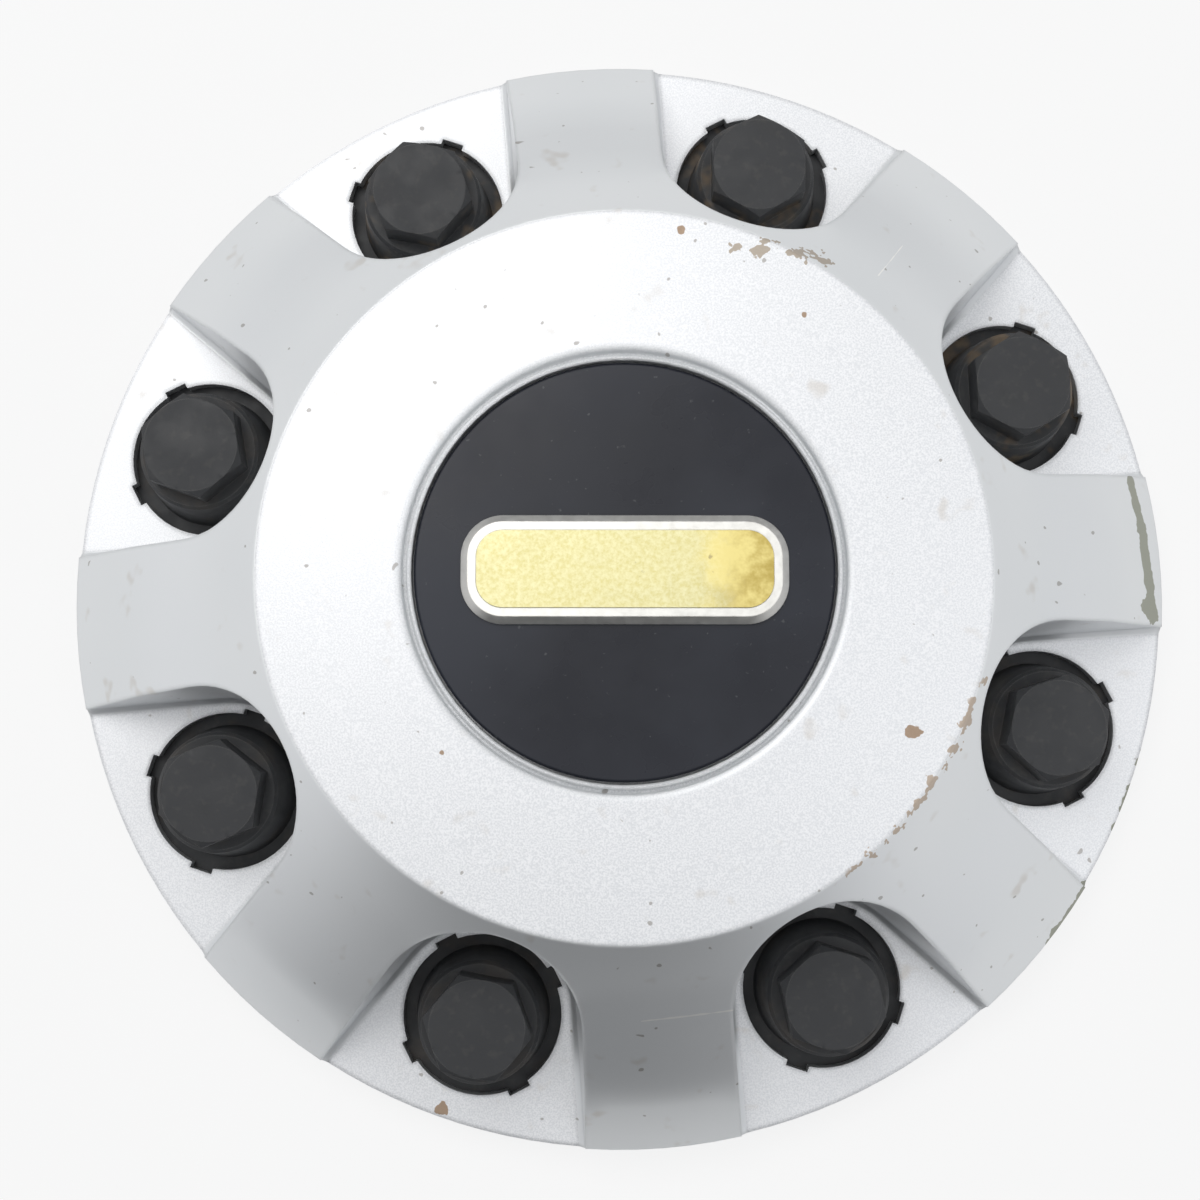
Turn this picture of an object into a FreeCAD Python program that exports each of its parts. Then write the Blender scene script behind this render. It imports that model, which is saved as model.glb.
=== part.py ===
import FreeCAD, Part
import math
import os
import re
import Sketcher
from FreeCAD import Placement, Rotation, Vector

# Driving dimensions in millimetres and degrees, measured from the rim plane at z = 0
DIMENSIONS = {
    # Dome of the cap
    "rim_margin": 5.8,
    "rim_draft": 0.5,
    "rim_height": 11.2,
    "flank_offset": 5.95,
    "flank_height": 25.4,
    "knee_inset": 10.55,
    "knee_height": 37.4,
    "crease_inset": 21.55,
    "crease_height": 48.3,
    "top_height": 49.0,
    "wall": 2.6,
    "rim_bevel": 0.7,
    # Recess for the emblem, with its bead and groove
    "recess_depth": 3.0,
    "bead_width": 0.8,
    "bead_bevel": 0.25,
    "groove_width": 0.6,
    "groove_depth": 1.3,
    "groove_bevel": 1.1,
    # Lug pattern and the pockets around the lug holes
    "lug_circle": 165.1,
    "lug_phase": 26.9,
    "floor_height": 9.0,
    "pocket_radius": 17.4,
    "pocket_flare": 22.0,
    "pocket_draft": 3.2,
    "pocket_foot": 1.1,
    "hole_radius": 14.65,
    "notch_width": 4.2,
    "notch_depth": 0.9,
    # Back of the cap: ribs under the spokes and snap fingers around the holes
    "rib_thickness": 1.8,
    "rib_bottom": 3.0,
    "rib_inset": 17.55,
    "finger_width": 4.0,
    "finger_thickness": 1.7,
    "hook_reach": 1.5,
    "hook_thickness": 1.7,
    # Lug covers
    "hex_flats": 17.0,
    "hex_height": 6.5,
    "hex_crown": 0.3,
    "hex_chamfer": 0.9,
    "shoulder_height": 8.7,
    "shoulder_bevel": 0.6,
    "shoulder_radius": 11.0,
    "skirt_radius": 12.4,
    "bore_radius": 9.8,
    "cover_wall": 2.0,
    "flange_overlap": 1.5,
    "flange_thickness": 1.7,
    "cover_float": 0.3,
    "cover_foot": 0.5,
    # Emblem disc, its adhesive pad and the badge bar
    "disc_radius": 34.8,
    "disc_clearance": 0.4,
    "disc_thickness": 1.8,
    "disc_bevel": 0.4,
    "pad_thickness": 0.8,
    "pad_inset": 1.5,
    "badge_length": 54.0,
    "badge_width": 18.0,
    "badge_thickness": 1.8,
    "badge_corner": 7.0,
    "badge_border": 2.6,
    "badge_bevel": 1.2,
    "inlay_depth": 1.0,
    "inlay_rise": 0.25,
    "inlay_clearance": 0.05,
}

LUGS = 8
FINGERS = 4
PITCH = 360.0 / LUGS
SPARE = 5.0

# Turn of each cover's hexagon at rest, in degrees, for covers 1 to 8
HEX_TURNS = [32.0, 30.0, 49.0, 40.0, 22.0, 49.5, 42.5, 17.5]

os.makedirs("parts", exist_ok=True)
doc = FreeCAD.newDocument("wheel_center_cap")

# Sheet of driving dimensions
sheet = doc.addObject("Spreadsheet::Sheet", "Dims")
for row, (alias, value) in enumerate(DIMENSIONS.items(), start=1):
    sheet.set(f"A{row}", alias)
    sheet.set(f"B{row}", str(value))
    sheet.setAlias(f"B{row}", alias)
doc.recompute()


def cells(text):
    """Point every dimension named in an expression at its cell of the sheet."""
    return re.sub(r"[a-z]\w+", lambda word: "Dims." + word[0] if word[0] in DIMENSIONS else word[0], text)


def bind(feature, prop, text):
    feature.setExpression(prop, cells(text))


# Heights and radii that several pieces share
LUG_RADIUS = "lug_circle / 2"
RIM_RADIUS = f"({LUG_RADIUS} + hole_radius + rim_margin)"
FLANK_RADIUS = f"({LUG_RADIUS} + flank_offset)"
KNEE_RADIUS = f"({LUG_RADIUS} - knee_inset)"
CREASE_RADIUS = f"({LUG_RADIUS} - crease_inset)"
RIB_INNER = f"({LUG_RADIUS} - rib_inset)"
FLOOR_UNDERSIDE = "(floor_height - wall)"
FLANGE_TOP = f"({FLOOR_UNDERSIDE} - cover_float)"
FLANGE_BOTTOM = f"({FLANGE_TOP} - flange_thickness)"
HOOK_TOP = f"({FLANGE_BOTTOM} - cover_float)"
HOOK_BOTTOM = f"({HOOK_TOP} - hook_thickness)"
FLANGE_RADIUS = "(hole_radius + flange_overlap)"
FINGER_INNER = f"({FLANGE_RADIUS} + cover_float)"
SHOULDER = "(floor_height + shoulder_height)"
HEX_TOP = f"({SHOULDER} + hex_height)"
RECESS_RADIUS = "(disc_radius + disc_clearance)"
RECESS_FLOOR = "(top_height - recess_depth)"
DISC_BOTTOM = f"({RECESS_FLOOR} + pad_thickness)"
DISC_TOP = f"({DISC_BOTTOM} + disc_thickness)"
BADGE_TOP = f"({DISC_TOP} + badge_thickness)"


def plane(body, role):
    return next(item for item in body.Origin.OriginFeatures if item.Role == role)


def new_body(label):
    body = doc.addObject("PartDesign::Body", label)
    body.Label = label
    return body


def new_sketch(body, name, role="XY_Plane", offset=None, turn=0.0):
    """Attach a sketch to one of the body's own planes, shifted by bound x and z offsets."""
    sketch = body.newObject("Sketcher::SketchObject", name)
    sketch.AttachmentSupport = [(plane(body, role), "")]
    sketch.MapMode = "FlatFace"
    sketch.AttachmentOffset = Placement(Vector(), Rotation(Vector(0, 0, 1), turn))
    for axis, text in (offset or {}).items():
        bind(sketch, f"AttachmentOffset.Base.{axis}", text)
    return sketch


def fix_point(sketch, line, x_text, y_text, start):
    """Drive the start of a line by its two coordinates."""
    for kind, text, value in (("DistanceX", x_text, start.x), ("DistanceY", y_text, start.y)):
        index = sketch.addConstraint(Sketcher.Constraint(kind, -1, 1, line, 1, value))
        bind(sketch, f"Constraints[{index}]", text)


def polygon(sketch, points):
    """Draw a closed outline whose corners are given as pairs of expressions."""
    count = len(points)
    ring = [Vector(math.cos(2 * math.pi * i / count), math.sin(2 * math.pi * i / count), 0) for i in range(count)]
    lines = [sketch.addGeometry(Part.LineSegment(ring[i], ring[(i + 1) % count])) for i in range(count)]
    for i, line in enumerate(lines):
        sketch.addConstraint(Sketcher.Constraint("Coincident", line, 2, lines[(i + 1) % count], 1))
    for line, (x_text, y_text), start in zip(lines, points, ring):
        fix_point(sketch, line, x_text, y_text, start)


def rectangle(sketch, left, bottom, right, top):
    polygon(sketch, [(left, bottom), (right, bottom), (right, top), (left, top)])


def cross_of_rectangles(sketch, inner, outer, width):
    """Draw one rectangle on each of the four half axes of a sketch."""
    low, high = f"-{width} / 2", f"{width} / 2"
    rectangle(sketch, inner, low, outer, high)
    rectangle(sketch, f"-({outer})", low, f"-({inner})", high)
    rectangle(sketch, low, inner, high, outer)
    rectangle(sketch, low, f"-({outer})", high, f"-({inner})")


def revolve(body, name, points, kind="PartDesign::Revolution"):
    """Turn an outline of radius and height pairs about the Z axis."""
    sketch = new_sketch(body, name + "_sketch", "XZ_Plane")
    polygon(sketch, points)
    turned = body.newObject(kind, name)
    turned.Profile = sketch
    turned.ReferenceAxis = (sketch, ["V_Axis"])
    turned.Angle = 360.0
    doc.recompute()
    return turned


def pad(body, name, sketch, length):
    feature = body.newObject("PartDesign::Pad", name)
    feature.Profile = sketch
    bind(feature, "Length", length)
    doc.recompute()
    return feature


def cut(body, name, sketch, length=None, upward=False):
    """Pocket a sketch over a bound length, or right through where none is given."""
    feature = body.newObject("PartDesign::Pocket", name)
    feature.Profile = sketch
    feature.Reversed = upward
    if length:
        bind(feature, "Length", length)
    else:
        feature.Type = "ThroughAll"
    doc.recompute()
    return feature


def around_lugs(body, name, features):
    """Repeat features once for each lug."""
    pattern = body.newObject("PartDesign::PolarPattern", name)
    pattern.Originals = features
    pattern.Axis = (plane(body, "Z_Axis"), [""])
    pattern.Angle = 360.0
    pattern.Occurrences = LUGS
    body.Tip = pattern
    doc.recompute()
    return pattern


def round_edges(body, name, base, chosen, radius, kind="PartDesign::Fillet"):
    """Fillet or chamfer the edges of a feature for which a test holds."""
    names = [f"Edge{i}" for i, edge in enumerate(base.Shape.Edges, start=1) if chosen(edge)]
    feature = body.newObject(kind, name)
    feature.Base = (base, names)
    bind(feature, "Size" if kind.endswith("Chamfer") else "Radius", radius)
    doc.recompute()
    return feature


def near(a, b):
    return abs(a - b) < 1e-3


def at_height(edge, height):
    return near(edge.BoundBox.ZMin, height) and near(edge.BoundBox.ZMax, height)


def pocket_outline(sketch, radius):
    """Draw the floor of a pocket: an arc round the lug hole and two sides that flare out past the rim."""
    flare = math.radians(DIMENSIONS["pocket_flare"])
    centre = Vector(DIMENSIONS["lug_circle"] / 2, 0, 0)
    size = DIMENSIONS["pocket_radius"]
    far = centre.x + DIMENSIONS["hole_radius"] + DIMENSIONS["rim_margin"] + SPARE
    upper = centre + Vector(-size * math.sin(flare), size * math.cos(flare), 0)
    lower = Vector(upper.x, -upper.y, 0)
    upper_far = Vector(far, upper.y + (far - upper.x) * math.tan(flare), 0)
    lower_far = Vector(far, -upper_far.y, 0)
    circle = Part.Circle(centre, Vector(0, 0, 1), size)
    arc = sketch.addGeometry(Part.ArcOfCircle(circle, math.pi / 2 + flare, 3 * math.pi / 2 - flare))
    side_a = sketch.addGeometry(Part.LineSegment(upper, upper_far))
    side_b = sketch.addGeometry(Part.LineSegment(lower_far, lower))
    end = sketch.addGeometry(Part.LineSegment(upper_far, lower_far))
    sketch.addConstraint([
        Sketcher.Constraint("Tangent", arc, 1, side_a, 1),
        Sketcher.Constraint("Tangent", arc, 2, side_b, 2),
        Sketcher.Constraint("Coincident", side_a, 2, end, 1),
        Sketcher.Constraint("Coincident", end, 2, side_b, 1),
        Sketcher.Constraint("PointOnObject", arc, 3, -1),
        Sketcher.Constraint("Symmetric", side_a, 2, side_b, 1, -1),
    ])
    driven = [
        (Sketcher.Constraint("DistanceX", -1, 1, arc, 3, centre.x), LUG_RADIUS),
        (Sketcher.Constraint("Radius", arc, size), radius),
        (Sketcher.Constraint("DistanceX", -1, 1, end, 1, far), f"{RIM_RADIUS} + {SPARE}"),
        (Sketcher.Constraint("Angle", side_a, flare), "pocket_flare * 1 deg"),
    ]
    for constraint, text in driven:
        index = sketch.addConstraint(constraint)
        bind(sketch, f"Constraints[{index}]", text)


def lug_pocket(body, name, radius, floor, length, draft):
    """Cut a pocket upward from its floor, with walls that lean outward."""
    sketch = new_sketch(body, name + "_sketch", offset={"z": floor})
    pocket_outline(sketch, radius)
    feature = cut(body, name, sketch, length, upward=True)
    bind(feature, "TaperAngle", draft)
    doc.recompute()
    return feature


# Outer form of the cap: the dome, its recess, the pockets and the lug holes
size = DIMENSIONS
bead_outer = f"({RECESS_RADIUS} + bead_width)"
groove_outer = f"({bead_outer} + groove_width)"
outer_form = new_body("outer_form")
revolve(outer_form, "dome", [
    ("0", "0"),
    ("0", RECESS_FLOOR),
    (RECESS_RADIUS, RECESS_FLOOR),
    (RECESS_RADIUS, "top_height - bead_bevel"),
    (f"{RECESS_RADIUS} + bead_bevel", "top_height"),
    (f"{bead_outer} - bead_bevel", "top_height"),
    (bead_outer, "top_height - bead_bevel"),
    (bead_outer, "top_height - groove_depth"),
    (groove_outer, "top_height - groove_depth"),
    (f"{groove_outer} + 0.3 * groove_bevel", "top_height - 0.3 * groove_bevel"),
    (f"{groove_outer} + groove_bevel", "top_height"),
    (CREASE_RADIUS, "crease_height"),
    (KNEE_RADIUS, "knee_height"),
    (FLANK_RADIUS, "flank_height"),
    (f"{RIM_RADIUS} - rim_draft - rim_bevel", "rim_height + 0.5 * rim_bevel"),
    (f"{RIM_RADIUS} - rim_draft", "rim_height - 0.5 * rim_bevel"),
    (RIM_RADIUS, "0"),
])
pocket_height = f"(top_height - floor_height + {SPARE})"
foot = lug_pocket(outer_form, "pocket_foot", "pocket_radius - pocket_foot", "floor_height", "pocket_foot", "45 deg")
pocket = lug_pocket(outer_form, "lug_pocket", "pocket_radius", "floor_height + pocket_foot", pocket_height,
                    "pocket_draft * 1 deg")
around_lugs(outer_form, "lug_pockets", [foot, pocket])

hole_place = {"x": LUG_RADIUS, "z": "floor_height"}
hole_sketch = new_sketch(outer_form, "lug_hole_sketch", offset=hole_place)
hole_ring = hole_sketch.addGeometry(Part.Circle(Vector(), Vector(0, 0, 1), size["hole_radius"]))
hole_sketch.addConstraint(Sketcher.Constraint("Coincident", hole_ring, 3, -1, 1))
hole_size = hole_sketch.addConstraint(Sketcher.Constraint("Radius", hole_ring, size["hole_radius"]))
bind(hole_sketch, f"Constraints[{hole_size}]", "hole_radius")
hole = cut(outer_form, "lug_hole", hole_sketch)
notch_sketch = new_sketch(outer_form, "notch_sketch", offset=hole_place, turn=180.0 / FINGERS)
cross_of_rectangles(notch_sketch, "hole_radius - notch_depth", "hole_radius + notch_depth", "notch_width")
notches = cut(outer_form, "notches", notch_sketch)
around_lugs(outer_form, "lug_holes", [hole, notches])

# Core: the space behind the wall, less the pockets, the ribs and the snap fingers
core = new_body("core")
recess_outer = f"({RECESS_RADIUS} + wall)"
revolve(core, "hollow", [
    ("0", f"-{SPARE}"),
    ("0", f"{RECESS_FLOOR} - wall"),
    (recess_outer, f"{RECESS_FLOOR} - wall"),
    (recess_outer, "top_height - wall"),
    (f"{CREASE_RADIUS} - 0.4 * wall", "crease_height - wall"),
    (f"{KNEE_RADIUS} - 0.68 * wall", "knee_height - 0.74 * wall"),
    (f"{FLANK_RADIUS} - 0.66 * wall", "flank_height - 0.75 * wall"),
    (f"{RIM_RADIUS} - rim_draft - wall", "rim_height - 0.45 * wall"),
    (f"{RIM_RADIUS} - wall", f"-{SPARE}"),
])
core_pocket = lug_pocket(core, "pocket_back", "pocket_radius + wall", FLOOR_UNDERSIDE, pocket_height,
                         "pocket_draft * 1 deg")
around_lugs(core, "pocket_backs", [core_pocket])

rib_sketch = new_sketch(core, "rib_sketch", offset={"z": "rib_bottom"}, turn=PITCH / 2)
rectangle(rib_sketch, RIB_INNER, "-rib_thickness / 2", RIM_RADIUS, "rib_thickness / 2")
rib = cut(core, "rib", rib_sketch, "top_height", upward=True)
around_lugs(core, "ribs", [rib])

finger_turn = 180.0 / FINGERS
finger_sketch = new_sketch(core, "finger_sketch", offset={"x": LUG_RADIUS, "z": HOOK_BOTTOM}, turn=finger_turn)
cross_of_rectangles(finger_sketch, FINGER_INNER, f"{FINGER_INNER} + finger_thickness", "finger_width")
fingers = cut(core, "fingers", finger_sketch, f"floor_height - {HOOK_BOTTOM}", upward=True)
hook_sketch = new_sketch(core, "hook_sketch", offset={"x": LUG_RADIUS, "z": HOOK_BOTTOM}, turn=finger_turn)
cross_of_rectangles(hook_sketch, f"{FINGER_INNER} - hook_reach", FINGER_INNER, "finger_width")
hooks = cut(core, "hooks", hook_sketch, "hook_thickness", upward=True)
around_lugs(core, "snap_fingers", [fingers, hooks])

# Cap: the outer form with the core taken out, turned to the lug pattern's rest angle
cap = doc.addObject("Part::Cut", "cap_body")
cap.Label = "cap_body"
cap.Base = outer_form
cap.Tool = core
cap.Refine = True
cap.Placement = Placement(Vector(), Rotation(Vector(0, 0, 1), size["lug_phase"]))
bind(cap, "Placement.Rotation.Angle", "lug_phase * 1 deg")


def lug_cover(number, hex_turn):
    """Make one captive cover: flanged hollow barrel with a hexagon head."""
    body = new_body(f"lug_cover_{number}")
    bore_top = f"{SHOULDER} - cover_wall"
    revolve(body, f"barrel_{number}", [
        ("bore_radius", "cover_foot"),
        ("skirt_radius", "cover_foot"),
        ("skirt_radius", FLANGE_BOTTOM),
        (FLANGE_RADIUS, FLANGE_BOTTOM),
        (FLANGE_RADIUS, FLANGE_TOP),
        ("skirt_radius", FLANGE_TOP),
        ("shoulder_radius", f"{SHOULDER} - shoulder_bevel"),
        ("shoulder_radius - shoulder_bevel", SHOULDER),
        ("0", SHOULDER),
        ("0", bore_top),
        ("bore_radius", bore_top),
    ])
    hex_sketch = new_sketch(body, f"hex_sketch_{number}", offset={"z": SHOULDER})
    corner = "hex_flats / 2 / cos(30 deg)"
    polygon(hex_sketch, [(f"{corner} * cos({60 * i} deg)", f"{corner} * sin({60 * i} deg)") for i in range(6)])
    pad(body, f"hex_{number}", hex_sketch, "hex_height")
    hex_top = revolve(body, f"hex_top_{number}", [
        ("0", HEX_TOP),
        ("hex_flats / 2", f"{HEX_TOP} - hex_crown"),
        (corner, f"{HEX_TOP} - hex_crown - hex_chamfer"),
        ("hex_flats", f"{HEX_TOP} - hex_crown - hex_chamfer"),
        ("hex_flats", f"{HEX_TOP} + {SPARE}"),
        ("0", f"{HEX_TOP} + {SPARE}"),
    ], "PartDesign::Groove")
    body.Tip = hex_top
    angle = f"(lug_phase + {PITCH * (number - 1)}) * 1 deg"
    body.Placement = Placement(Vector(), Rotation(Vector(0, 0, 1), hex_turn))
    bind(body, "Placement.Base.x", f"{LUG_RADIUS} * cos({angle})")
    bind(body, "Placement.Base.y", f"{LUG_RADIUS} * sin({angle})")
    return body


covers = [lug_cover(number, turn) for number, turn in enumerate(HEX_TURNS, start=1)]


def round_plate(label, radius, bottom, thickness, bevel="0"):
    """Make a flat disc about the Z axis with a bevelled top edge."""
    body = new_body(label)
    top = f"{bottom} + {thickness}"
    rim = [(radius, top)] if bevel == "0" else [(radius, f"{top} - {bevel}"), (f"{radius} - {bevel}", top)]
    revolve(body, label + "_turn", [("0", bottom), (radius, bottom), *rim, ("0", top)])
    return body


def bar(body, label, length, width, corner, bottom, thickness):
    """Pad a rectangle about the Z axis and round its upright corners."""
    sketch = new_sketch(body, label + "_sketch", offset={"z": bottom})
    rectangle(sketch, f"-({length}) / 2", f"-({width}) / 2", f"({length}) / 2", f"({width}) / 2")
    block = pad(body, label + "_block", sketch, thickness)
    return round_edges(body, label + "_corners", block, lambda edge: edge.BoundBox.ZLength > 0.1, corner)


# Emblem: adhesive pad, disc, badge frame and inlay, stacked in the recess
pad_plate = round_plate("adhesive_pad", "disc_radius - pad_inset", RECESS_FLOOR, "pad_thickness")
disc = round_plate("emblem_disc", "disc_radius", DISC_BOTTOM, "disc_thickness", "disc_bevel")
disc_top = size["top_height"] - size["recess_depth"] + size["pad_thickness"] + size["disc_thickness"]

frame = new_body("badge_frame")
bar(frame, "frame", "badge_length", "badge_width", "badge_corner", DISC_TOP, "badge_thickness")
badge_top = disc_top + size["badge_thickness"]
seat_length = "badge_length - 2 * badge_border"
seat_width = "badge_width - 2 * badge_border"
seat_corner = "badge_corner - badge_border"
seat_sketch = new_sketch(frame, "seat_sketch", offset={"z": BADGE_TOP})
rectangle(seat_sketch, f"-({seat_length}) / 2", f"-({seat_width}) / 2", f"({seat_length}) / 2", f"({seat_width}) / 2")
seat = cut(frame, "seat", seat_sketch, "inlay_depth")


def is_seat_corner(edge):
    """Test for an upright corner of the inlay's seat."""
    box = edge.BoundBox
    inset = size["badge_length"] / 2 - size["badge_border"]
    return near(box.ZLength, size["inlay_depth"]) and near(abs(box.Center.x), inset)


def is_frame_top(edge):
    """Test for the outer top edges of the badge frame."""
    middle = edge.BoundBox.Center
    on_end = near(abs(middle.x), size["badge_length"] / 2)
    on_side = near(abs(middle.y), size["badge_width"] / 2)
    on_corner = isinstance(edge.Curve, Part.Circle) and near(edge.Curve.Radius, size["badge_corner"])
    return at_height(edge, badge_top) and (on_end or on_side or on_corner)


seat = round_edges(frame, "seat_corners", seat, is_seat_corner, seat_corner)
round_edges(frame, "frame_bevel", seat, is_frame_top, "badge_bevel", "PartDesign::Chamfer")

inlay = new_body("badge_inlay")
bar(inlay, "inlay", f"{seat_length} - 2 * inlay_clearance", f"{seat_width} - 2 * inlay_clearance",
    f"{seat_corner} - inlay_clearance", f"{BADGE_TOP} - inlay_depth", "inlay_depth + inlay_rise")

# Check every feature, then write one file for each piece
doc.recompute()
for item in doc.Objects:
    if "Invalid" in item.State or "Error" in item.State:
        raise RuntimeError(f"{item.Label} did not build: {item.State}")
for piece in [cap, pad_plate, disc, frame, inlay] + covers:
    if piece.Shape.isNull() or not piece.Shape.isValid():
        raise RuntimeError(f"{piece.Label} has no valid shape")
    piece.Shape.exportStep(f"parts/{piece.Label}.step")
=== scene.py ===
import math

import bpy
from mathutils import Matrix, Vector


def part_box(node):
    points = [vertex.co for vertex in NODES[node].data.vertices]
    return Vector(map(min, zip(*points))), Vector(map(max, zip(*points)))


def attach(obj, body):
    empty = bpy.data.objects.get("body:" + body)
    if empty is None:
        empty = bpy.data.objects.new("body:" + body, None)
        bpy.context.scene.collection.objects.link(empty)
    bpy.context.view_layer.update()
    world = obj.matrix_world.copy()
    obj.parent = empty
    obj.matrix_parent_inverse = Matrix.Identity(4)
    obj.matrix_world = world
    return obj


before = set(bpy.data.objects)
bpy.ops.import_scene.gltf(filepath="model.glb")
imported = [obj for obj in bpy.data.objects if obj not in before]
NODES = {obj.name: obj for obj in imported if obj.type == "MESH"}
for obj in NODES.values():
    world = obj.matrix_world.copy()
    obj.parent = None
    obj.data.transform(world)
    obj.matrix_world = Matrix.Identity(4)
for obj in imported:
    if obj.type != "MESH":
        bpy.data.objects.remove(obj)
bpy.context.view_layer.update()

MM = 0.001
COVER_COUNT = 8

# Camera, as fitted to the photograph
CAMERA_PLACE = Vector((-0.0056, -0.0283, 0.3023))
CAMERA_AIM = Vector((-0.0038, -0.0005, 0.0))
CAMERA_LENS = 46.5
CAMERA_SENSOR = 36.0
CAMERA_CLIP = 0.01

# Shading of the CAD meshes
WELD_DISTANCE = 0.002 * MM
CRISP_ANGLE = math.radians(20.0)
BEVEL_SAMPLES = 2

# Stage: lengths in metres, a flat's profile as radius and height, lights as shares of white
FLOOR_HALF = 30.0
FLOOR_DROP = 0.0002
FLOOR_WHITE = 0.8
FLAT_STEPS = 48
FLAT_MIDDLE = 0.995
FAR_PROFILE = [(0.9, 0.0), (0.9, 0.5)]
NEAR_PROFILE = [(0.17, 0.001), (0.32, 0.002), (0.36, 0.4)]
AMBIENT_STRENGTH = 0.45
CENTRE = (0.0, 0.0, 0.0)

# Flats: name, profile, start and end direction in degrees, glow at the ends and in the middle
FLATS = [
    ("far_flat", FAR_PROFILE, 25.0, 150.0, 0.90, 0.62),
    ("right_flat", FAR_PROFILE, -42.0, 25.0, 0.92, 0.95),
    ("left_flat", FAR_PROFILE, 150.0, 208.0, 0.96, 1.0),
    ("near_flat", NEAR_PROFILE, 208.0, 318.0, 0.92, 0.02),
]

# Lamps: name, place and size in metres, power in watts, colour
LAMPS = [
    ("key", (-0.30, 0.42, 0.95), 0.7, 4.0, (1.0, 0.99, 0.97)),
    ("fill", (0.5, -0.1, 0.9), 0.6, 1.0, (0.96, 0.98, 1.0)),
]

# Thread in each lug cover: lengths in millimetres, steps to a turn, steps over which its ends fade
THREAD_ROOT = 9.86
THREAD_CREST = 9.4
THREAD_ROOT_HALF = 0.6
THREAD_CREST_HALF = 0.16
THREAD_PITCH = 2.0
THREAD_FOOT = 1.8
THREAD_TURNS = 6.25
THREAD_STEPS = 40
THREAD_LEAD_STEPS = 12.0
THREAD_CRISP_ANGLE = math.radians(30.0)


def srgb(red, green, blue):
    """A colour given as 0-255 display values, as linear RGBA."""
    def linear(value):
        part = value / 255.0
        return part / 12.92 if part <= 0.04045 else ((part + 0.055) / 1.055) ** 2.4
    return (linear(red), linear(green), linear(blue), 1.0)


PAINT_METALLIC = 0.62

# Marks on the paint, by colour: start x, y, end x, y, radius and ragged edge, in millimetres
PAINT_MARKS = [
    (srgb(152, 154, 141), [
        (95.4, 20.4, 97.4, 12.0, 1.1, 0.35),
        (97.4, 12.0, 99.2, -3.0, 1.3, 0.45),
        (98.4, -3.2, 99.6, -4.4, 1.9, 0.7),
        (86.6, -55.0, 78.4, -66.4, 0.7, 0.8),
        (98.4, -30.0, 92.8, -45.0, 0.4, 0.7),
    ]),
    (srgb(246, 246, 244), [
        (3.0, -75.2, 19.0, -73.4, 0.14, 0.1),
        (44.0, 52.0, 50.0, 60.0, 0.1, 0.1),
    ]),
    (srgb(172, 162, 150), [
        (19.0, 54.6, 34.0, 53.0, 0.8, 2.2),
    ]),
]

# Small rust-brown chips: x, y, radius and ragged edge, in millimetres
CHIP_COLOUR = srgb(160, 139, 120)
PAINT_CHIPS = [
    (47.1, -26.5, 1.2, 0.8),
    (-32.7, -95.3, 1.2, 0.8),
    (-29.8, -30.0, 0.5, 0.3),
    (9.6, 57.6, 0.6, 0.4),
    (30.1, 43.0, 0.5, 0.3),
]

# Scuffed stretch of the crease: lengths in millimetres, its middle and half its angle in degrees
SCUFF_COLOUR = srgb(182, 168, 154)
SCUFF_RADIUS = 61.2
SCUFF_MIDDLE = -36.0
SCUFF_HALF = 20.0
SCUFF_WIDTH = 0.35
SCUFF_FRAY = 1.5

# Mud on the three upper covers, and traces on the rest: shares, and heights in millimetres
MUDDY_COVERS = (1, 2, 3)
MUD_SHARE = 0.85
MUD_TRACE = 0.12
MUD_TOP = 24.6
MUD_CAKED = 16.0
MUD = srgb(112, 96, 76)


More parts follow.
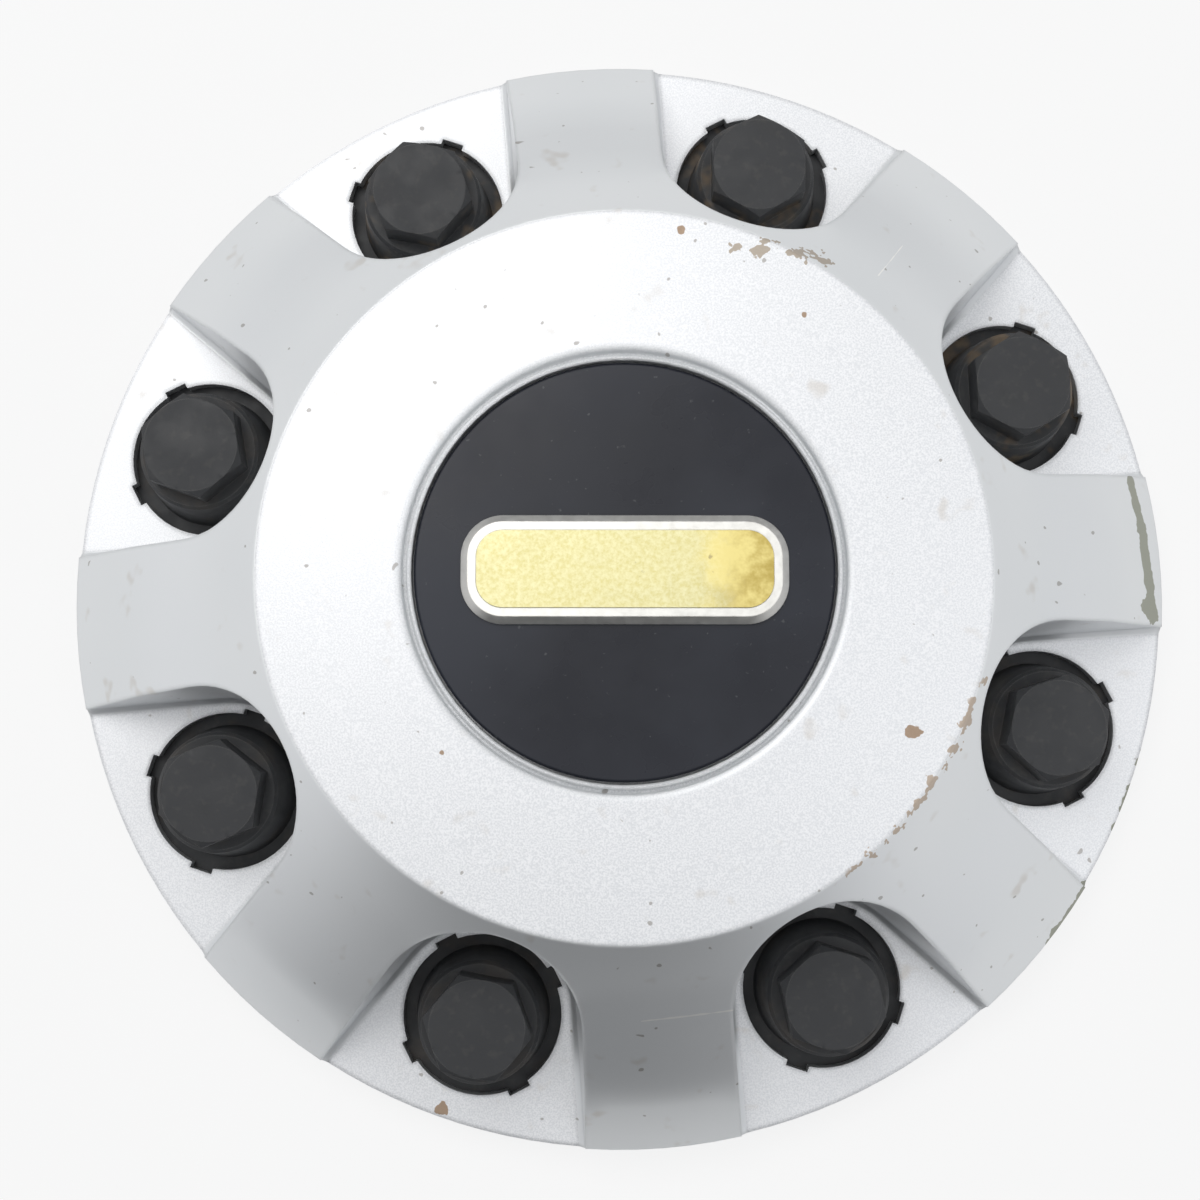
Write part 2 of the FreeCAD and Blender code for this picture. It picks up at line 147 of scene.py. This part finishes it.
class Graph:
    """A procedural material, with short calls for the nodes it needs."""

    def __init__(self, name):
        self.material = bpy.data.materials.new(name)
        self.material.use_nodes = True
        self.tree = self.material.node_tree
        self.shader = self.tree.nodes["Principled BSDF"]
        self.place = self.tree.nodes.new("ShaderNodeTexCoord").outputs["Object"]
        self.normal = self.tree.nodes.new("ShaderNodeNewGeometry").outputs["Normal"]

    def put(self, socket, value):
        """Links a node's output to a socket, or sets a plain value on it."""
        if isinstance(value, bpy.types.NodeSocket):
            self.tree.links.new(value, socket)
        else:
            socket.default_value = value

    def set(self, **inputs):
        """Puts values on the shader's own sockets, with _ for a space in their names."""
        for name, value in inputs.items():
            self.put(self.shader.inputs[name.replace("_", " ")], value)

    def math(self, operation, first, second, third=0.0):
        """One step of arithmetic."""
        node = self.tree.nodes.new("ShaderNodeMath")
        node.operation = operation
        for socket, value in zip(node.inputs, (first, second, third)):
            self.put(socket, value)
        return node.outputs[0]

    def vector(self, operation, first, second, output="Vector"):
        """One step of vector arithmetic."""
        node = self.tree.nodes.new("ShaderNodeVectorMath")
        node.operation = operation
        self.put(node.inputs[0], first)
        self.put(node.inputs[1], second)
        return node.outputs[output]

    def axis(self, vector, name):
        """One part of a vector: X, Y or Z."""
        node = self.tree.nodes.new("ShaderNodeSeparateXYZ")
        self.put(node.inputs[0], vector)
        return node.outputs[name]

    def noise(self, scale, detail=2.0, roughness=0.5):
        """Noise on the object's own coordinates, with its scale in cells to a metre."""
        node = self.tree.nodes.new("ShaderNodeTexNoise")
        self.put(node.inputs["Vector"], self.place)
        self.put(node.inputs["Scale"], scale)
        self.put(node.inputs["Detail"], detail)
        self.put(node.inputs["Roughness"], roughness)
        return node.outputs["Fac"]

    def spread(self, value, low, high, to_low=0.0, to_high=1.0):
        """Maps a range smoothly to another."""
        node = self.tree.nodes.new("ShaderNodeMapRange")
        node.interpolation_type = "SMOOTHSTEP"
        for name, number in (("Value", value), ("From Min", low), ("From Max", high),
                             ("To Min", to_low), ("To Max", to_high)):
            self.put(node.inputs[name], number)
        return node.outputs["Result"]

    def mix(self, factor, first, second):
        """A blend of two colours."""
        node = self.tree.nodes.new("ShaderNodeMix")
        node.data_type = "RGBA"
        self.put(node.inputs[0], factor)
        self.put(node.inputs[6], first)
        self.put(node.inputs[7], second)
        return node.outputs[2]

    def rounded(self, radius):
        """The surface normal, softened near edges."""
        node = self.tree.nodes.new("ShaderNodeBevel")
        node.samples = BEVEL_SAMPLES
        self.put(node.inputs["Radius"], radius)
        return node.outputs["Normal"]

    def edges(self, radius):
        """How sharply the surface turns nearby, from 0 on flats to 1 on edges."""
        alike = self.vector("DOT_PRODUCT", self.rounded(radius), self.normal, "Value")
        return self.spread(alike, 0.985, 0.80)

    def bump(self, height, strength, distance, normal=None):
        """The surface normal, tilted by a height field."""
        node = self.tree.nodes.new("ShaderNodeBump")
        self.put(node.inputs["Height"], height)
        self.put(node.inputs["Strength"], strength)
        self.put(node.inputs["Distance"], distance)
        if normal is not None:
            self.put(node.inputs["Normal"], normal)
        return node.outputs["Normal"]

    def outline(self, offset, ragged, radius, fray):
        """Signed distance in metres from a mark's torn outline."""
        torn = self.math("MULTIPLY_ADD", ragged, fray * 4.0 * MM, -(fray * 2.0 + radius) * MM)
        return self.math("ADD", offset, torn)

    def streak(self, flat_place, ragged, mark):
        """Outline of a worn line between two points, seen from above."""
        x0, y0, x1, y1, radius, fray = mark
        start = Vector((x0 * MM, y0 * MM, 0.0))
        along = Vector((x1 * MM, y1 * MM, 0.0)) - start
        from_start = self.vector("SUBTRACT", flat_place, start)
        share = self.tree.nodes.new("ShaderNodeClamp")
        self.put(share.inputs["Value"],
                 self.vector("DOT_PRODUCT", from_start, along / along.length_squared, "Value"))
        nearest = self.tree.nodes.new("ShaderNodeVectorMath")
        nearest.operation = "SCALE"
        self.put(nearest.inputs[0], along)
        self.put(nearest.inputs["Scale"], share.outputs["Result"])
        offset = self.vector("DISTANCE", from_start, nearest.outputs["Vector"], "Value")
        return self.outline(offset, ragged, radius, fray)

    def chip(self, flat_place, ragged, mark):
        """Outline of a chip round one point, seen from above."""
        x, y, radius, fray = mark
        offset = self.vector("DISTANCE", flat_place, (x * MM, y * MM, 0.0), "Value")
        return self.outline(offset, ragged, radius, fray)

    def inside(self, outlines):
        """1 inside any of the outlines, with a thin soft edge."""
        nearest = outlines[0]
        for outline in outlines[1:]:
            nearest = self.math("MINIMUM", nearest, outline)
        return self.spread(nearest, 0.04 * MM, -0.06 * MM)


def silver_paint():
    """Metallic paint: satin on slopes, textured on level faces, worn, and bare plastic behind."""
    g = Graph("silver_paint_worn")
    up = g.axis(g.normal, "Z")
    painted = g.spread(up, -0.05, 0.02)
    level = g.spread(up, 0.78, 0.99)
    flake = g.noise(3200.0, 1.0, 0.6)
    cloud = g.noise(35.0, 1.0)
    ragged = g.noise(420.0, 2.0, 0.65)
    satin = g.mix(cloud, srgb(221, 224, 226), srgb(229, 231, 232))
    textured = g.mix(g.spread(flake, 0.32, 0.68), srgb(212, 214, 217), srgb(232, 233, 235))
    colour = g.mix(level, satin, textured)
    grime = g.spread(g.noise(140.0, 2.0, 0.7), 0.64, 0.78, 0.0, 0.5)
    colour = g.mix(grime, colour, srgb(196, 190, 182))
    specks = g.spread(g.noise(620.0, 0.0), 0.84, 0.87, 0.0, 0.6)
    colour = g.mix(specks, colour, srgb(132, 125, 117))
    flat_place = g.vector("MULTIPLY", g.place, (1.0, 1.0, 0.0))
    facing_up = g.spread(up, 0.05, 0.15)
    for mark_colour, marks in PAINT_MARKS:
        worn = g.inside([g.streak(flat_place, ragged, mark) for mark in marks])
        colour = g.mix(g.math("MULTIPLY", worn, facing_up), colour, mark_colour)
    chipped = g.inside([g.chip(flat_place, ragged, mark) for mark in PAINT_CHIPS])
    colour = g.mix(g.math("MULTIPLY", chipped, facing_up), colour, CHIP_COLOUR)
    from_axis = g.vector("DISTANCE", flat_place, CENTRE, "Value")
    from_crease = g.math("ABSOLUTE", g.math("SUBTRACT", from_axis, SCUFF_RADIUS * MM), 0.0)
    scuffed = g.inside([g.outline(from_crease, ragged, SCUFF_WIDTH, SCUFF_FRAY)])
    middle = math.radians(SCUFF_MIDDLE)
    reach = g.vector("DOT_PRODUCT", flat_place, (math.cos(middle), math.sin(middle), 0.0), "Value")
    limit = SCUFF_RADIUS * math.cos(math.radians(SCUFF_HALF)) * MM
    stretch = g.math("MULTIPLY", g.spread(reach, limit, limit + 1.0 * MM), facing_up)
    colour = g.mix(g.math("MULTIPLY", scuffed, stretch), colour, SCUFF_COLOUR)
    bare_back = g.mix(ragged, srgb(62, 63, 65), srgb(82, 83, 85))
    g.set(Base_Color=g.mix(painted, bare_back, colour))
    g.set(Metallic=g.math("MULTIPLY", painted, PAINT_METALLIC))
    g.set(Roughness=g.spread(g.math("MULTIPLY", level, flake), 0.0, 0.7, 0.36, 0.56))
    grain = g.spread(level, 0.0, 1.0, 0.05, 0.22)
    g.set(Normal=g.bump(flake, grain, 0.05 * MM, g.rounded(1.2 * MM)))
    return g.material


def cover_plastic(name, mud):
    """Matte black plastic with dust, edges lightened partly as scuffs and partly as a painted
    highlight, and a share of mud.
    """
    g = Graph(name)
    grain = g.noise(1500.0, 1.0, 0.6)
    cloud = g.noise(160.0, 2.0, 0.6)
    colour = g.mix(cloud, srgb(42, 43, 45), srgb(64, 65, 67))
    dust = g.spread(g.noise(420.0, 2.0, 0.7), 0.52, 0.72, 0.0, 0.25)
    colour = g.mix(dust, colour, srgb(82, 80, 77))
    # Edges lightened towards pale grey: partly scuffs, partly a painted highlight along every edge.
    scuffed = g.math("MULTIPLY", g.edges(0.35 * MM), g.spread(cloud, 0.35, 0.65, 0.15, 0.75))
    colour = g.mix(scuffed, colour, srgb(120, 119, 116))
    low = g.spread(g.axis(g.place, "Z"), MUD_TOP * MM, MUD_CAKED * MM)
    caked = g.math("MULTIPLY", g.spread(g.noise(95.0, 3.0, 0.72), 0.50, 0.66), low)
    colour = g.mix(g.math("MULTIPLY", caked, mud), colour, MUD)
    g.set(Base_Color=colour)
    g.set(Roughness=g.spread(cloud, 0.3, 0.7, 0.46, 0.66), Specular_IOR_Level=0.35)
    g.set(Normal=g.bump(grain, 0.22, 0.06 * MM, g.rounded(0.3 * MM)))
    return g.material


def disc_plastic():
    """Satin blue-black plastic with haze and dust."""
    g = Graph("disc_satin_black")
    haze = g.noise(28.0, 3.0)
    grain = g.noise(2200.0, 2.0)
    colour = g.mix(g.spread(haze, 0.3, 0.7), srgb(31, 33, 41), srgb(45, 48, 57))
    dust = g.spread(g.noise(900.0, 2.0), 0.70, 0.78, 0.0, 0.5)
    colour = g.mix(dust, colour, srgb(96, 98, 100))
    g.set(Base_Color=colour)
    g.set(Roughness=g.spread(g.noise(60.0, 4.0, 0.6), 0.3, 0.7, 0.24, 0.38), Specular_IOR_Level=0.3)
    g.set(Normal=g.bump(grain, 0.06, 0.03 * MM, g.rounded(0.3 * MM)))
    return g.material


def badge_silver():
    """Plated frame, dulled along its edges."""
    g = Graph("badge_silver_plated")
    brushed = g.noise(700.0, 4.0, 0.7)
    colour = g.mix(brushed, srgb(206, 205, 200), srgb(232, 231, 227))
    worn = g.math("MULTIPLY", g.edges(0.3 * MM), g.spread(g.noise(240.0, 3.0), 0.45, 0.7, 0.0, 0.6))
    colour = g.mix(worn, colour, srgb(150, 140, 122))
    g.set(Base_Color=colour)
    g.set(Metallic=0.8)
    g.set(Roughness=g.spread(brushed, 0.3, 0.7, 0.28, 0.44))
    g.set(Normal=g.bump(brushed, 0.08, 0.04 * MM, g.rounded(0.25 * MM)))
    return g.material


def badge_gold():
    """Pale foil, darker, deeper gold and more metallic towards its +X end."""
    g = Graph("badge_gold_foil")
    along = g.axis(g.place, "X")
    flecks = g.noise(1300.0, 3.0, 0.7)
    patchy = g.noise(170.0, 4.0, 0.7)
    # Blend towards the +X end: deeper, darker gold and more metallic there.
    toward_plus_x_end = g.spread(g.math("MULTIPLY_ADD", patchy, 14.0 * MM, along), 17.0 * MM, 27.0 * MM)
    pale = g.mix(g.spread(flecks, 0.3, 0.7), srgb(229, 219, 152), srgb(244, 238, 188))
    deep = g.mix(g.spread(patchy, 0.35, 0.65), srgb(176, 156, 84), srgb(214, 200, 132))
    colour = g.mix(toward_plus_x_end, pale, deep)
    chips = g.spread(patchy, 0.70, 0.76, 0.0, 0.7)
    colour = g.mix(chips, colour, srgb(150, 138, 108))
    g.set(Base_Color=colour)
    g.set(Metallic=g.spread(toward_plus_x_end, 0.0, 1.0, 0.35, 0.85))
    g.set(Roughness=g.spread(patchy, 0.3, 0.7, 0.30, 0.46))
    g.set(Normal=g.bump(flecks, 0.10, 0.04 * MM))
    return g.material


def foam_tape():
    """Grey foam with open cells."""
    g = Graph("foam_tape_cells")
    cells = g.noise(1800.0, 4.0, 0.7)
    g.set(Base_Color=g.mix(cells, srgb(66, 66, 68), srgb(122, 122, 122)))
    g.set(Roughness=0.92)
    g.set(Normal=g.bump(cells, 0.5, 0.15 * MM))
    return g.material


def dress(node_name, material):
    """Gives a CAD node its finish and smooth shading with crisp edges."""
    node = NODES[node_name]
    mesh = node.data
    mesh.materials.clear()
    mesh.materials.append(material)
    if "custom_normal" in mesh.attributes:
        mesh.attributes.remove(mesh.attributes["custom_normal"])
    mesh.shade_smooth()
    weld = node.modifiers.new("weld", "WELD")
    weld.merge_threshold = WELD_DISTANCE
    crisp = node.modifiers.new("crisp_edges", "EDGE_SPLIT")
    crisp.split_angle = CRISP_ANGLE


def add_thread(number, material):
    """A helical ridge inside one lug cover's bore."""
    low, high = (Vector(corner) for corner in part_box(f"lug_cover_{number}"))
    centre = (low + high) / 2.0
    section = [
        (THREAD_ROOT, -THREAD_ROOT_HALF),
        (THREAD_CREST, -THREAD_CREST_HALF),
        (THREAD_CREST, THREAD_CREST_HALF),
        (THREAD_ROOT, THREAD_ROOT_HALF),
    ]
    rows = int(THREAD_TURNS * THREAD_STEPS) + 1
    points = []
    for row in range(rows):
        turn = row / THREAD_STEPS
        angle = turn * math.tau
        ends = min(1.0, (row + 1) / THREAD_LEAD_STEPS, (rows - row) / THREAD_LEAD_STEPS)
        for radius, rise in section:
            reach = THREAD_ROOT + (radius - THREAD_ROOT) * ends
            height = THREAD_FOOT + turn * THREAD_PITCH + rise
            points.append((
                centre.x + reach * math.cos(angle) * MM,
                centre.y + reach * math.sin(angle) * MM,
                height * MM,
            ))
    faces = []
    for row in range(rows - 1):
        for corner in range(4):
            following = (corner + 1) % 4
            first = row * 4
            faces.append((first + corner, first + following,
                          first + 4 + following, first + 4 + corner))
    faces.append((3, 2, 1, 0))
    faces.append(tuple((rows - 1) * 4 + corner for corner in range(4)))
    mesh = bpy.data.meshes.new(f"lug_cover_{number}_thread")
    mesh.from_pydata(points, [], faces)
    mesh.materials.append(material)
    mesh.shade_smooth()
    mesh.set_sharp_from_angle(angle=THREAD_CRISP_ANGLE)
    thread = bpy.data.objects.new(f"lug_cover_{number}_thread", mesh)
    bpy.context.scene.collection.objects.link(thread)
    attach(thread, f"lug_cover_{number}_body")


def add_area_light(name, place, size, energy, colour):
    """A round soft lamp, aimed at the centre."""
    light = bpy.data.lights.new(name, "AREA")
    light.shape = "DISK"
    light.size = size
    light.energy = energy
    light.color = colour
    holder = bpy.data.objects.new(name, light)
    holder.location = place
    holder.rotation_euler = (Vector(CENTRE) - Vector(place)).to_track_quat("-Z", "Y").to_euler()
    bpy.context.scene.collection.objects.link(holder)


def add_floor():
    """A plain pale table."""
    mesh = bpy.data.meshes.new("floor")
    corners = [(-1, -1), (1, -1), (1, 1), (-1, 1)]
    mesh.from_pydata([(x * FLOOR_HALF, y * FLOOR_HALF, 0.0) for x, y in corners], [], [(0, 1, 2, 3)])
    g = Graph("pale_table")
    g.set(Base_Color=srgb(243, 243, 242))
    g.set(Roughness=0.75, Specular_IOR_Level=0.0)
    show_white(g.tree, FLOOR_WHITE)
    g.material.cycles.emission_sampling = "NONE"
    mesh.materials.append(g.material)
    floor = bpy.data.objects.new("floor", mesh)
    floor.location.z = -FLOOR_DROP
    bpy.context.scene.collection.objects.link(floor)


def seen_rays(tree):
    """1 for rays from the camera, and for what metal and glass see of the stage."""
    rays = tree.nodes.new("ShaderNodeLightPath")
    total = rays.outputs["Is Camera Ray"]
    for name in ("Is Glossy Ray", "Is Transmission Ray"):
        add = tree.nodes.new("ShaderNodeMath")
        add.operation = "ADD"
        add.use_clamp = True
        tree.links.new(total, add.inputs[0])
        tree.links.new(rays.outputs[name], add.inputs[1])
        total = add.outputs[0]
    return total


def show_white(tree, share):
    """Lifts the floor towards white where it is seen, and keeps some of the shadow on it."""
    scale = tree.nodes.new("ShaderNodeMath")
    scale.operation = "MULTIPLY"
    scale.inputs[1].default_value = share
    tree.links.new(seen_rays(tree), scale.inputs[0])
    white = tree.nodes.new("ShaderNodeEmission")
    blend = tree.nodes.new("ShaderNodeMixShader")
    tree.links.new(scale.outputs[0], blend.inputs[0])
    tree.links.new(tree.nodes["Principled BSDF"].outputs[0], blend.inputs[1])
    tree.links.new(white.outputs[0], blend.inputs[2])
    tree.links.new(blend.outputs[0], tree.nodes["Material Output"].inputs["Surface"])


def add_flat(name, profile, start, end, glow, middle_glow):
    """A curved studio flat that only the metallic paint reflects, with its own glow at the middle."""
    points = []
    for step in range(FLAT_STEPS + 1):
        angle = math.radians(start + (end - start) * step / FLAT_STEPS)
        for radius, height in profile:
            points.append((radius * math.cos(angle), radius * math.sin(angle), height))
    rows = len(profile)
    faces = []
    for step in range(FLAT_STEPS):
        for row in range(rows - 1):
            first = step * rows + row
            faces.append((first, first + rows, first + rows + 1, first + 1))
    mesh = bpy.data.meshes.new(name)
    mesh.from_pydata(points, [], faces)
    g = Graph(name)
    g.material.cycles.emission_sampling = "NONE"
    g.tree.nodes.remove(g.shader)
    light = g.tree.nodes.new("ShaderNodeEmission")
    middle = math.radians((start + end) / 2.0)
    flat_place = g.vector("MULTIPLY", g.place, (1.0, 1.0, 0.0))
    direction = g.vector("NORMALIZE", flat_place, CENTRE)
    facing = g.vector("DOT_PRODUCT", direction, (math.cos(middle), math.sin(middle), 0.0), "Value")
    edge = math.cos(math.radians((end - start) / 2.0))
    g.put(light.inputs["Color"], srgb(250, 250, 252))
    g.put(light.inputs["Strength"], g.spread(facing, edge, FLAT_MIDDLE, glow, middle_glow))
    g.tree.links.new(light.outputs[0], g.tree.nodes["Material Output"].inputs["Surface"])
    mesh.materials.append(g.material)
    flat = bpy.data.objects.new(name, mesh)
    flat.visible_camera = False
    flat.visible_diffuse = False
    flat.visible_shadow = False
    bpy.context.scene.collection.objects.link(flat)


def add_world():
    """White where the camera, metal and glass see it, softer as a light."""
    world = bpy.data.worlds.new("studio")
    bpy.context.scene.world = world
    world.use_nodes = True
    tree = world.node_tree
    tree.nodes.clear()
    ambient = tree.nodes.new("ShaderNodeBackground")
    ambient.inputs["Color"].default_value = srgb(244, 246, 250)
    ambient.inputs["Strength"].default_value = AMBIENT_STRENGTH
    white = tree.nodes.new("ShaderNodeBackground")
    white.inputs["Color"].default_value = (1.0, 1.0, 1.0, 1.0)
    choose = tree.nodes.new("ShaderNodeMixShader")
    tree.links.new(seen_rays(tree), choose.inputs[0])
    tree.links.new(ambient.outputs[0], choose.inputs[1])
    tree.links.new(white.outputs[0], choose.inputs[2])
    output = tree.nodes.new("ShaderNodeOutputWorld")
    tree.links.new(choose.outputs[0], output.inputs["Surface"])


def add_camera():
    """The photograph's camera, with +Y up in the picture."""
    camera = bpy.data.cameras.new("camera")
    camera.lens = CAMERA_LENS
    camera.sensor_width = CAMERA_SENSOR
    camera.clip_start = CAMERA_CLIP
    forward = (CAMERA_AIM - CAMERA_PLACE).normalized()
    right = forward.cross(Vector((0.0, 1.0, 0.0))).normalized()
    up = right.cross(forward)
    turn = Matrix((right, up, -forward)).transposed()
    holder = bpy.data.objects.new("camera", camera)
    holder.matrix_world = Matrix.Translation(CAMERA_PLACE) @ turn.to_4x4()
    bpy.context.scene.collection.objects.link(holder)
    bpy.context.scene.camera = holder


# Finishes on the CAD nodes
dress("cap_body", silver_paint())
muddy = cover_plastic("cover_black_muddy", MUD_SHARE)
clean = cover_plastic("cover_black", MUD_TRACE)
for cover in range(1, COVER_COUNT + 1):
    plastic = muddy if cover in MUDDY_COVERS else clean
    dress(f"lug_cover_{cover}", plastic)
    add_thread(cover, clean)
dress("adhesive_pad", foam_tape())
dress("emblem_disc", disc_plastic())
dress("badge_frame", badge_silver())
dress("badge_inlay", badge_gold())

# Stage, light and camera
add_floor()
for flat in FLATS:
    add_flat(*flat)
add_world()
for lamp in LAMPS:
    add_area_light(*lamp)
add_camera()
bpy.context.scene.view_settings.view_transform = "Standard"
